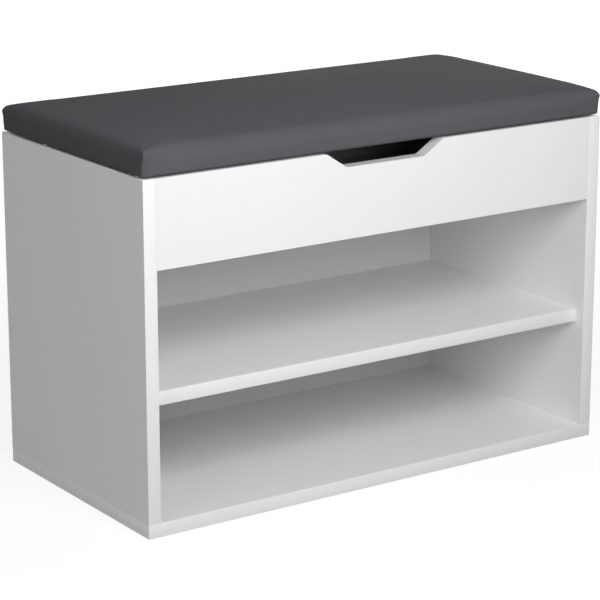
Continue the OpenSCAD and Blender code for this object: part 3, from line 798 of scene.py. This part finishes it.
# %% Where the net's lines run
CORNER_ZONE = 18.0 * MM
FINE = 1.0 * MM
COARSE = 5.0 * MM
LOW_LINES, SIDE_LINES, ROLL_LINES = 4, 6, 6


def stations(half):
    """Places from -half to half, close together near both ends."""
    ends = np.arange(0.0, CORNER_ZONE - FINE / 2, FINE)
    count = round(2 * (half - CORNER_ZONE) / COARSE)
    middle = np.linspace(CORNER_ZONE - half, half - CORNER_ZONE, count + 1)
    return np.concatenate([ends - half, middle, half - ends[::-1]])


def level_stations():
    """Heights over the underside, close together round the two rolls."""
    low = np.linspace(0.0, BOTTOM_RADIUS, LOW_LINES)
    side = np.linspace(BOTTOM_RADIUS, SIDE_HEIGHT, SIDE_LINES)[1:]
    roll = np.linspace(SIDE_HEIGHT, roll_height, ROLL_LINES)[1:]
    return np.concatenate([low, side, roll])


lines_x = stations(half_width)
lines_y = stations(half_depth)
lines_z = level_stations()
print("net:", len(lines_x), "x", len(lines_y), "x", len(lines_z))

# %% [markdown]
# ## Rolls, corners and crown
#
# The foam makes the vinyl's edge round: wide along the front, tighter at the ends, and tightest at
# the corners, where two folds pull on it. Bevels could round it, but with one radius everywhere.
# So three small formulas give the roll, the corner's radius and the crown at any place. The crown
# is that of a thin sheet held at its edge and pushed up evenly.

# %% The roll over the top edge
CORNER_ROLL = Vector((6.0, 6.0)) * MM
FRONT_ROLL = Vector((22.0, 15.0)) * MM
END_ROLL = Vector((14.0, 12.0)) * MM
CORNER_RUN = 60.0 * MM
CORNER_FALL = 0.5 * MM
FRONT_RISE = 3.0 * MM
END_RISE = 4.5 * MM


def end_share(x, y):
    """1 on the end edges of the seat, 0 on its front and rear edges, and a share between."""
    from_end, from_front = half_width - abs(x), half_depth - abs(y)
    both = from_end + from_front
    return from_front / both if both > 0 else 0.5


def away_from_corner(x, y):
    """0 at a corner of the seat, rising quickly and then slowly to 1 away from it."""
    left = max(0.0, 1.0 - math.hypot(half_width - abs(x), half_depth - abs(y)) / CORNER_RUN)
    return 1.0 - left**2


def roll_at(x, y):
    """How far in and how far down the top edge is rounded there."""
    full = FRONT_ROLL.lerp(END_ROLL, end_share(x, y))
    return CORNER_ROLL.lerp(full, away_from_corner(x, y))


def edge_rise(x, y):
    """How far the top edge stands over the roll's own height there."""
    full = FRONT_RISE + (END_RISE - FRONT_RISE) * end_share(x, y)
    return (full + CORNER_FALL) * away_from_corner(x, y) - CORNER_FALL


def rolled(inset, height, top_roll):
    """Turns a point of the square section into one of the section with its two rolls."""
    rolls = ((top_roll, roll_height - top_roll[1], 1), ((BOTTOM_RADIUS, BOTTOM_RADIUS), BOTTOM_RADIUS, -1))
    for (far, deep), level, up in rolls:
        across = (far - inset) / far
        along = (height - level) * up / deep
        if across > 0 and along > 0:
            reach = math.hypot(across, along)
            return far - far * across / reach, level + up * deep * along / reach
    return inset, height


middle_roll = roll_at(0.0, half_depth)
print("the front edge is rounded", [round(size / MM, 1) for size in middle_roll], "mm in and down")

# %% The corner in plan
CORNER_RADIUS = 4.0 * MM
CORNER_LOW_RADIUS = 8.0 * MM
CORNER_GROWTH = 0.5
RADIUS_GONE = 90.0 * MM
RADIUS_FADE = 60.0 * MM
TUCK_AT = 22.0 * MM


def eased(value, low, high):
    """0 below low, 1 above high, and a smooth change between them."""
    share = np.clip((value - low) / (high - low), 0.0, 1.0)
    return share * share * (3 - 2 * share)


def corner_radius(inset, height):
    """The corner's radius in plan: larger low down and over the roll, and fading in the middle."""
    low = float(eased(height, 0.0, BOTTOM_RADIUS) * (1.0 - eased(height, BOTTOM_RADIUS, TUCK_AT)))
    radius = CORNER_RADIUS + (CORNER_LOW_RADIUS - CORNER_RADIUS) * low
    radius += CORNER_GROWTH * min(inset, TOP_RADIUS)
    return radius * min(1.0, max(0.0, (RADIUS_GONE - inset) / RADIUS_FADE))


radii = [round(corner_radius(0.0, height) / MM, 1) for height in (0.0, BOTTOM_RADIUS, TUCK_AT)]
print("the corner's radius in mm, at the hem, over the lower roll and at the pleat's end:", radii)

# %% The crown
MEMBRANE_TERMS = 6


def membrane(x, y):
    """The height, 0 to about 1, of a sheet held at a rectangle's edge and pushed up evenly."""
    half_x, half_y = half_width - TOP_RADIUS / 2, half_depth - TOP_RADIUS / 2
    if abs(x) >= half_x or abs(y) >= half_y:
        return 0.0
    total = half_y**2 - y**2
    for k in range(MEMBRANE_TERMS):
        wave = (2 * k + 1) * math.pi / (2 * half_y)
        share = (-1) ** k * 32 * half_y**2 / (math.pi * (2 * k + 1)) ** 3
        total -= share * math.cos(wave * y) * math.cosh(wave * x) / math.cosh(wave * half_x)
    return total / half_y**2


MEMBRANE_TOP = membrane(0.0, 0.0)
halfway = membrane(half_width / 2, 0.0) / MEMBRANE_TOP
print("halfway to the end the crown still has", round(halfway, 2), "of its height")


# %% Wrap one point of the net round the seat
def along_side(place, straight, new_straight, edge):
    """A place on the straight part of a ring, moved to the new ring, or the new ring's edge."""
    if place > straight:
        return edge
    return place * new_straight / straight if straight > 0 else 0.0


def wrapped(x, y, z):
    """The place on the seat of a point of the square net."""
    inset = max(0.0, min(half_width - abs(x), half_depth - abs(y)))
    ring_x, ring_y = half_width - inset, half_depth - inset
    new_inset, new_z = rolled(inset, z, roll_at(x, y))
    radius = corner_radius(new_inset, new_z)
    out_x, out_y = half_width - new_inset, half_depth - new_inset
    past_x = abs(x) - (ring_x - radius)
    past_y = abs(y) - (ring_y - radius)
    if radius > 0 and past_x > 0 and past_y > 0:
        reach = math.hypot(past_x, past_y)
        new_x = out_x - radius + radius * past_x / reach
        new_y = out_y - radius + radius * past_y / reach
    else:
        new_x = along_side(abs(x), ring_x - radius, out_x - radius, out_x)
        new_y = along_side(abs(y), ring_y - radius, out_y - radius, out_y)
    upper = float(eased(new_z, SIDE_HEIGHT / 2, roll_height))
    share = membrane(new_x, new_y) / MEMBRANE_TOP
    rise = crown * share + edge_rise(new_x, new_y) * (1.0 - share)
    return Vector((math.copysign(new_x, x), math.copysign(new_y, y), seat_level + new_z + rise * upper))


top_point = wrapped(0.0, 0.0, roll_height)
print("the net's highest point is at", round(top_point.z, 4))


# %% Build the net
def build_net():
    """The cover's mesh: top, four sides and the hem underneath, as one sheet of squares."""
    last_i, last_j, last_k = (len(lines) - 1 for lines in (lines_x, lines_y, lines_z))
    work = bmesh.new()
    made = {}

    def corner(i, j, k):
        if (i, j, k) not in made:
            made[i, j, k] = work.verts.new(wrapped(lines_x[i], lines_y[j], lines_z[k]))
        return made[i, j, k]

    def square(corners, turn):
        work.faces.new([corner(*point) for point in corners[::turn]])

    for i in range(last_i):
        for j in range(last_j):
            ring = [(i, j), (i + 1, j), (i + 1, j + 1), (i, j + 1)]
            square([(a, b, last_k) for a, b in ring], 1)
            mid_x = (lines_x[i] + lines_x[i + 1]) / 2
            mid_y = (lines_y[j] + lines_y[j + 1]) / 2
            if abs(mid_x) > half_width - HEM_WIDTH or abs(mid_y) > half_depth - HEM_WIDTH:
                square([(a, b, 0) for a, b in ring], -1)
    for k in range(last_k):
        for i in range(last_i):
            for j, turn in ((0, 1), (last_j, -1)):
                square([(i, j, k), (i + 1, j, k), (i + 1, j, k + 1), (i, j, k + 1)], turn)
        for j in range(last_j):
            for i, turn in ((0, -1), (last_i, 1)):
                square([(i, j, k), (i, j + 1, k), (i, j + 1, k + 1), (i, j, k + 1)], turn)
    mesh = bpy.data.meshes.new("seat_cover_net")
    work.to_mesh(mesh)
    work.free()
    return mesh


net = build_net()
print("net points:", len(net.vertices), "faces:", len(net.polygons))

# %% [markdown]
# ## Blow the cover up
#
# The net becomes cloth with a little pressure inside. The hem and the lower edge are held, as the
# staples hold them, and the hold eases up the sides. Twenty frames are enough: what is wanted is
# the way the crown falls to the ends and corners, and its height is set afterwards.

# %% Simulate
HOLD_TOP = 12 * MM
FRAMES = 20
CLOTH = {
    "quality": 6,
    "mass": 0.3,
    "tension_stiffness": 25,
    "compression_stiffness": 25,
    "shear_stiffness": 10,
    "bending_stiffness": 0.6,
    "vertex_group_mass": "held",
    "use_pressure": True,
    "uniform_pressure_force": 4.0,
}


def points_of(mesh):
    """A mesh's points as rows of numbers."""
    flat = np.empty(len(mesh.vertices) * 3)
    mesh.vertices.foreach_get("co", flat)
    return flat.reshape(-1, 3)


def blown_up(mesh):
    """The net's points after the cloth has been blown up."""
    body = bpy.data.objects.new("cover_cloth", mesh)
    bpy.context.scene.collection.objects.link(body)
    hold = body.vertex_groups.new(name=CLOTH["vertex_group_mass"])
    for index, height in enumerate(points_of(mesh)[:, 2] - seat_level):
        weight = 1.0 - min(1.0, max(0.0, (height - BOTTOM_RADIUS) / HOLD_TOP))
        hold.add([index], weight, "REPLACE")
    cloth = body.modifiers.new("cloth", "CLOTH")
    for setting, value in CLOTH.items():
        setattr(cloth.settings, setting, value)
    cloth.settings.effector_weights.gravity = 0.0
    for step in range(1, FRAMES + 1):
        bpy.context.scene.frame_set(step)
    shaped = body.evaluated_get(bpy.context.evaluated_depsgraph_get())
    points = points_of(shaped.to_mesh())
    shaped.to_mesh_clear()
    bpy.data.objects.remove(body)
    bpy.context.scene.frame_set(1)
    return points


flat_points = points_of(net)
swollen = blown_up(net)
print("raised by at most", round((swollen - flat_points)[:, 2].max() / MM, 1), "mm")

# %% [markdown]
# ## Settle and refine
#
# Cloth swells further than a stapled sheet would, as it has no foam glued under it. Its move is
# capped, and the crown is scaled to the height of the construction. The sheet could be simulated
# with a finer net, but that takes far longer and looks the same as dividing it afterwards.

# %% Settle the crown to its height
SIDE_BULGE = 1.2 * MM
TOP_SWELL = 4.0 * MM
LEAST_MOVE = 0.001 * MM


def set_points(mesh, points):
    """Moves a mesh's points to the rows of numbers."""
    mesh.vertices.foreach_set("co", points.ravel())
    mesh.update()


def settled(rest, points):
    """Caps how far the cloth has moved, and scales the crown back to its height."""
    moved = points - rest
    widest = np.maximum(np.abs(moved).max(axis=0), LEAST_MOVE)
    moved *= np.minimum(1.0, (SIDE_BULGE, SIDE_BULGE, TOP_SWELL) / widest)
    made = rest + moved
    over = made[:, 2] > roll_level
    scale = crown / (made[:, 2].max() - roll_level)
    made[over, 2] = roll_level + (made[over, 2] - roll_level) * scale
    return made


set_points(net, settled(flat_points, swollen))
print("the crown is at", round(points_of(net)[:, 2].max(), 4))

# %% Cut the net finer
DIVISIONS = 1


def finer(mesh):
    """The mesh with its squares divided and smoothed."""
    body = bpy.data.objects.new("cover_work", mesh)
    bpy.context.scene.collection.objects.link(body)
    divide = body.modifiers.new("divide", "SUBSURF")
    divide.levels = DIVISIONS
    shaped = body.evaluated_get(bpy.context.evaluated_depsgraph_get())
    made = bpy.data.meshes.new_from_object(shaped)
    bpy.data.objects.remove(body)
    return made


cover_mesh = finer(net)
print("cover points:", len(cover_mesh.vertices))

# %% [markdown]
# ## Folds at the corners
#
# A flat sheet can't go round a corner without folding. The upholsterer pulls the spare vinyl to the
# end of the seat and lays it in one pleat beside each corner, so the end face has a thin step next
# to the corner, which runs out before it reaches the top. Where the pleat ends, the vinyl bunches
# up into a small bead, and underneath the hem is folded over itself on the diagonal. Cloth could
# be made to fold like this, but not in the same way on every run, so each fold is pushed out of
# the finished net.


# %% The hem's fold and the pleat's bead
FOLD_WIDTH, FOLD_HEIGHT = 3.0 * MM, 0.5 * MM
FOLD_START = (12.0 * MM, 20.0 * MM)
BEAD_OUT = Vector((1.4, 1.4)) * MM
BEAD_REACH = Vector((7.0, 3.0, 3.5)) * MM


def hump(distance):
    """1 where the distance is 0, fading to 0 on both sides of it."""
    return np.exp(-(distance**2))


def insets(points):
    """How far each point is from the seat's end, and how far from its front or rear."""
    return half_width - np.abs(points[:, 0]), half_depth - np.abs(points[:, 1])


def hem_fold(points):
    """1 on the diagonal of each corner underneath, where the hem is folded over itself."""
    from_end, from_front = insets(points)
    inside = eased(np.minimum(from_end, from_front), *FOLD_START)
    under = points[:, 2] < seat_level + BOTTOM_RADIUS / 4
    return hump((from_end - from_front) / FOLD_WIDTH) * inside * under


def bead(points):
    """1 on the corner at the pleat's end, fading around it, where the spare vinyl bunches up."""
    from_end, from_front = insets(points)
    height = points[:, 2] - seat_level - TUCK_AT
    across = hump(from_end / BEAD_REACH.x) * hump(from_front / BEAD_REACH.y)
    return across * hump(height / BEAD_REACH.z)


print("most of the bead on the net:", round(bead(points_of(cover_mesh)).max(), 2))

# %% Pleat the corners
PLEAT_IN = 4.8 * MM
PLEAT_THICKNESS = 0.7 * MM
PLEAT_EDGE = 0.4 * MM
PLEAT_LEAN = 0.06
PLEAT_START = (-1.0 * MM, 4.0 * MM)
PLEAT_TOP = (19.6 * MM, 28.0 * MM)
END_FACE = (1.0 * MM, 6.0 * MM)
TUCK_LOW, TUCK_HIGH, TUCK_WIDTH = 0.5 * MM, 2.2 * MM, 1.7 * MM
TUCK_SHIFT = 0.5
TUCK_SPAN = 5.0 * MM


def pleated(points):
    """Pushes the pleat beside each corner out of the end faces, and draws its tuck in."""
    from_end, from_corner = insets(points)
    height = points[:, 2] - seat_level
    end_face = 1.0 - eased(from_end, *END_FACE)
    run_out = 1.0 - eased(height, *PLEAT_TOP)
    line = PLEAT_IN - PLEAT_LEAN * height
    layer = 1.0 - eased(from_corner, line - PLEAT_EDGE, line + PLEAT_EDGE)
    layer *= eased(from_corner, *PLEAT_START)
    depth = TUCK_LOW + TUCK_HIGH * hump((height - TUCK_AT) / TUCK_SPAN)
    tuck = depth * hump((from_corner - line) / TUCK_WIDTH - TUCK_SHIFT)
    push = (layer * PLEAT_THICKNESS - tuck) * end_face * run_out
    made = points.copy()
    made[:, 0] += np.sign(points[:, 0]) * (push + bead(points) * BEAD_OUT.x)
    made[:, 1] += np.sign(points[:, 1]) * bead(points) * BEAD_OUT.y
    made[:, 2] -= hem_fold(points) * FOLD_HEIGHT
    return made


plain_points = points_of(cover_mesh)
set_points(cover_mesh, pleated(plain_points))
pushed = np.abs(points_of(cover_mesh) - plain_points).max(axis=0)
print("the folds move the sheet by up to", [round(move / MM, 1) for move in pushed], "mm")

# %% Dress the cover
COVER_SHARE = 0.95

seat_cover = new_piece("seat_cover_upholstery", cover_mesh, LEATHERETTE, "seat")
cover_mesh.shade_smooth()
thickness = seat_cover.modifiers.new("thickness", "SOLIDIFY")
thickness.thickness = COVER_THICKNESS * COVER_SHARE
thickness.offset = -1.0
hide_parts("seat_cover")
print("cover faces:", len(cover_mesh.polygons))

# %% [markdown]
# ## Foam
#
# The foam is cut to the board and glued to it, and the cover takes its form from it. It never
# shows on a closed seat, but a seat without it would be hollow. It could be a plain block, but the
# cover has been blown up since, so the foam is the cover's own net, shrunk by the vinyl's
# thickness, with the board cut out of it.


# %% Open-cell foam
FOAM_ROUGH = (0.88, 0.98)
FOAM_DEPTH = 0.3 * MM


def foam_finish():
    """A cream foam, full of small open cells."""
    finish = Finish("foam_finish")
    pores = finish.cells(per_metre=1500.0)
    cloud = finish.noise(per_metre=40.0)
    colour = finish.mix(cloud, tone(226, 214, 170), tone(238, 228, 190))
    return finish.done(colour, between(pores, *FOAM_ROUGH), finish.relief(pores, FOAM_DEPTH))


FOAM = foam_finish()
print("the foam's cells are up to", FOAM_DEPTH / MM, "mm deep")

# %% Shrink the net
FOAM_GAP = 0.1 * MM
TUCK_PRESS = 9.0 * MM


def shrunk(mesh, depth):
    """The net as a closed solid, smaller all round by a depth, and pressed in by the tucks."""
    work = bmesh.new()
    work.from_mesh(mesh)
    work.normal_update()
    moves = [vertex.normal.copy() for vertex in work.verts]
    for vertex, normal in zip(work.verts, moves):
        vertex.co -= normal * depth
        if abs(vertex.co.y) > half_depth - TUCK_PRESS and abs(vertex.co.x) > half_width - TUCK_PRESS:
            vertex.co.x -= math.copysign(TUCK_LOW + TUCK_HIGH, vertex.co.x)
    bmesh.ops.holes_fill(work, edges=[edge for edge in work.edges if edge.is_boundary])
    made = bpy.data.meshes.new("foam_solid")
    work.to_mesh(made)
    work.free()
    return made


whole_foam = shrunk(net, COVER_THICKNESS + FOAM_GAP)
print("the foam before the cut has", len(whole_foam.polygons), "faces")

# %% Cut out the board
CUTTER_EASE = 0.01 * MM
CUT_PAST = 5.0 * MM


def cut_from(mesh, low, high):
    """A mesh with a box cut out of it."""
    cutter_mesh = eased_bar("cutter", low, high, CUTTER_EASE)
    body, cutter = (bpy.data.objects.new("cutting", data) for data in (mesh, cutter_mesh))
    for each in (body, cutter):
        bpy.context.scene.collection.objects.link(each)
    cut = body.modifiers.new("cut", "BOOLEAN")
    cut.operation = "DIFFERENCE"
    cut.object = cutter
    cut.solver = "EXACT"
    shaped = body.evaluated_get(bpy.context.evaluated_depsgraph_get())
    made = bpy.data.meshes.new_from_object(shaped)
    for each in (body, cutter):
        bpy.data.objects.remove(each)
    return made


gap = Vector((FOAM_GAP, FOAM_GAP, FOAM_GAP))
below = Vector((0, 0, COVER_THICKNESS + CUT_PAST))
foam_mesh = cut_from(whole_foam, board_low - gap - below, board_high + gap)
foam = new_piece("seat_foam_block", foam_mesh, FOAM, "seat")
foam_mesh.shade_smooth()
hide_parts("seat_foam")
print("foam faces:", len(foam_mesh.polygons))

# %% [markdown]
# ## The lining
#
# A black felt-like sheet closes the underside and hides the hem. It is stapled every few
# centimetres, so its edge is drawn back a little between two staples and its middle hangs by less
# than a millimetre. A single plane would do for the colour, but the edge shows when the lid is
# open, so the sheet is a grid whose edge is scalloped by the staples' step.


# %% The lining's fibres
LINING_ROUGH = (0.8, 0.95)
DOT_DEPTH = 0.12 * MM
FLUFF_DEPTH = 0.05 * MM


def lining_finish():
    """A black felt with the dots of the rollers that bonded it."""
    finish = Finish("black_lining_finish")
    fibres = finish.noise(detail=5.0, rough=0.7, at=finish.stretched(900.0, 1600.0, 900.0))
    dots = finish.cells(per_metre=620.0)
    colour = finish.mix(fibres, tone(20, 20, 21), tone(44, 44, 46))
    bump = finish.relief(dots, DOT_DEPTH, strength=0.6)
    bump = finish.relief(fibres, FLUFF_DEPTH, strength=0.5, under=bump)
    return finish.done(colour, between(fibres, *LINING_ROUGH), bump)


LINING = lining_finish()
print("the lining's dots are", DOT_DEPTH / MM, "mm deep")

# %% Shape the lining
LINING_STEP = 3 * MM
STAPLE_STEP = 70 * MM
SCALLOP = 1.4 * MM
SCALLOP_FROM = (0.9, 0.8)
SAG = 0.6 * MM
RIPPLE = 0.12 * MM
RIPPLE_WAVES = (70, 110)
HELD_X, HELD_Y = 8, 4


def scallop(along, half):
    """How far the edge is drawn in, which is nothing at each staple and most between two."""
    count = max(1, round(2 * half / STAPLE_STEP))
    return SCALLOP * np.sin((along + half) / (2 * half) * count * math.pi) ** 2


def lining_mesh(half_x, half_y, top):
    """A grid over the hem's opening, with its edge drawn in and its middle sagging."""
    count_x, count_y = round(2 * half_x / LINING_STEP), round(2 * half_y / LINING_STEP)
    work = bmesh.new()
    bmesh.ops.create_grid(work, x_segments=count_x, y_segments=count_y, size=1.0)
    mesh = bpy.data.meshes.new("seat_lining_sheet")
    work.to_mesh(mesh)
    work.free()
    across, along, flat = points_of(mesh).T
    x, y = across * half_x, along * half_y
    near_x = eased(np.abs(across), SCALLOP_FROM[0], 1.0)
    near_y = eased(np.abs(along), SCALLOP_FROM[1], 1.0)
    drawn_x = x - np.sign(x) * near_x * scallop(y, half_y)
    drawn_y = y - np.sign(y) * near_y * scallop(x, half_x)
    ripple = RIPPLE * np.sin(x * RIPPLE_WAVES[0]) * np.sin(y * RIPPLE_WAVES[1] + 1)
    free = (1 - across**HELD_X) * (1 - along**HELD_Y)
    set_points(mesh, np.column_stack([drawn_x, drawn_y, flat + top - (SAG + ripple) * free]))
    return mesh


lining_low, lining_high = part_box("seat_lining")
lining_size = lining_high - lining_low
sheet_mesh = lining_mesh(*lining_high)
print("lining:", [round(value / MM, 1) for value in lining_size], "mm")

# %% Lay the lining
lining = new_piece("seat_lining_sheet", sheet_mesh, LINING, "seat")
sheet_mesh.shade_smooth()
felt = lining.modifiers.new("felt", "SOLIDIFY")
felt.thickness = lining_size.z
felt.offset = -1.0
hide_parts("seat_lining")
print("lining faces:", len(sheet_mesh.polygons))
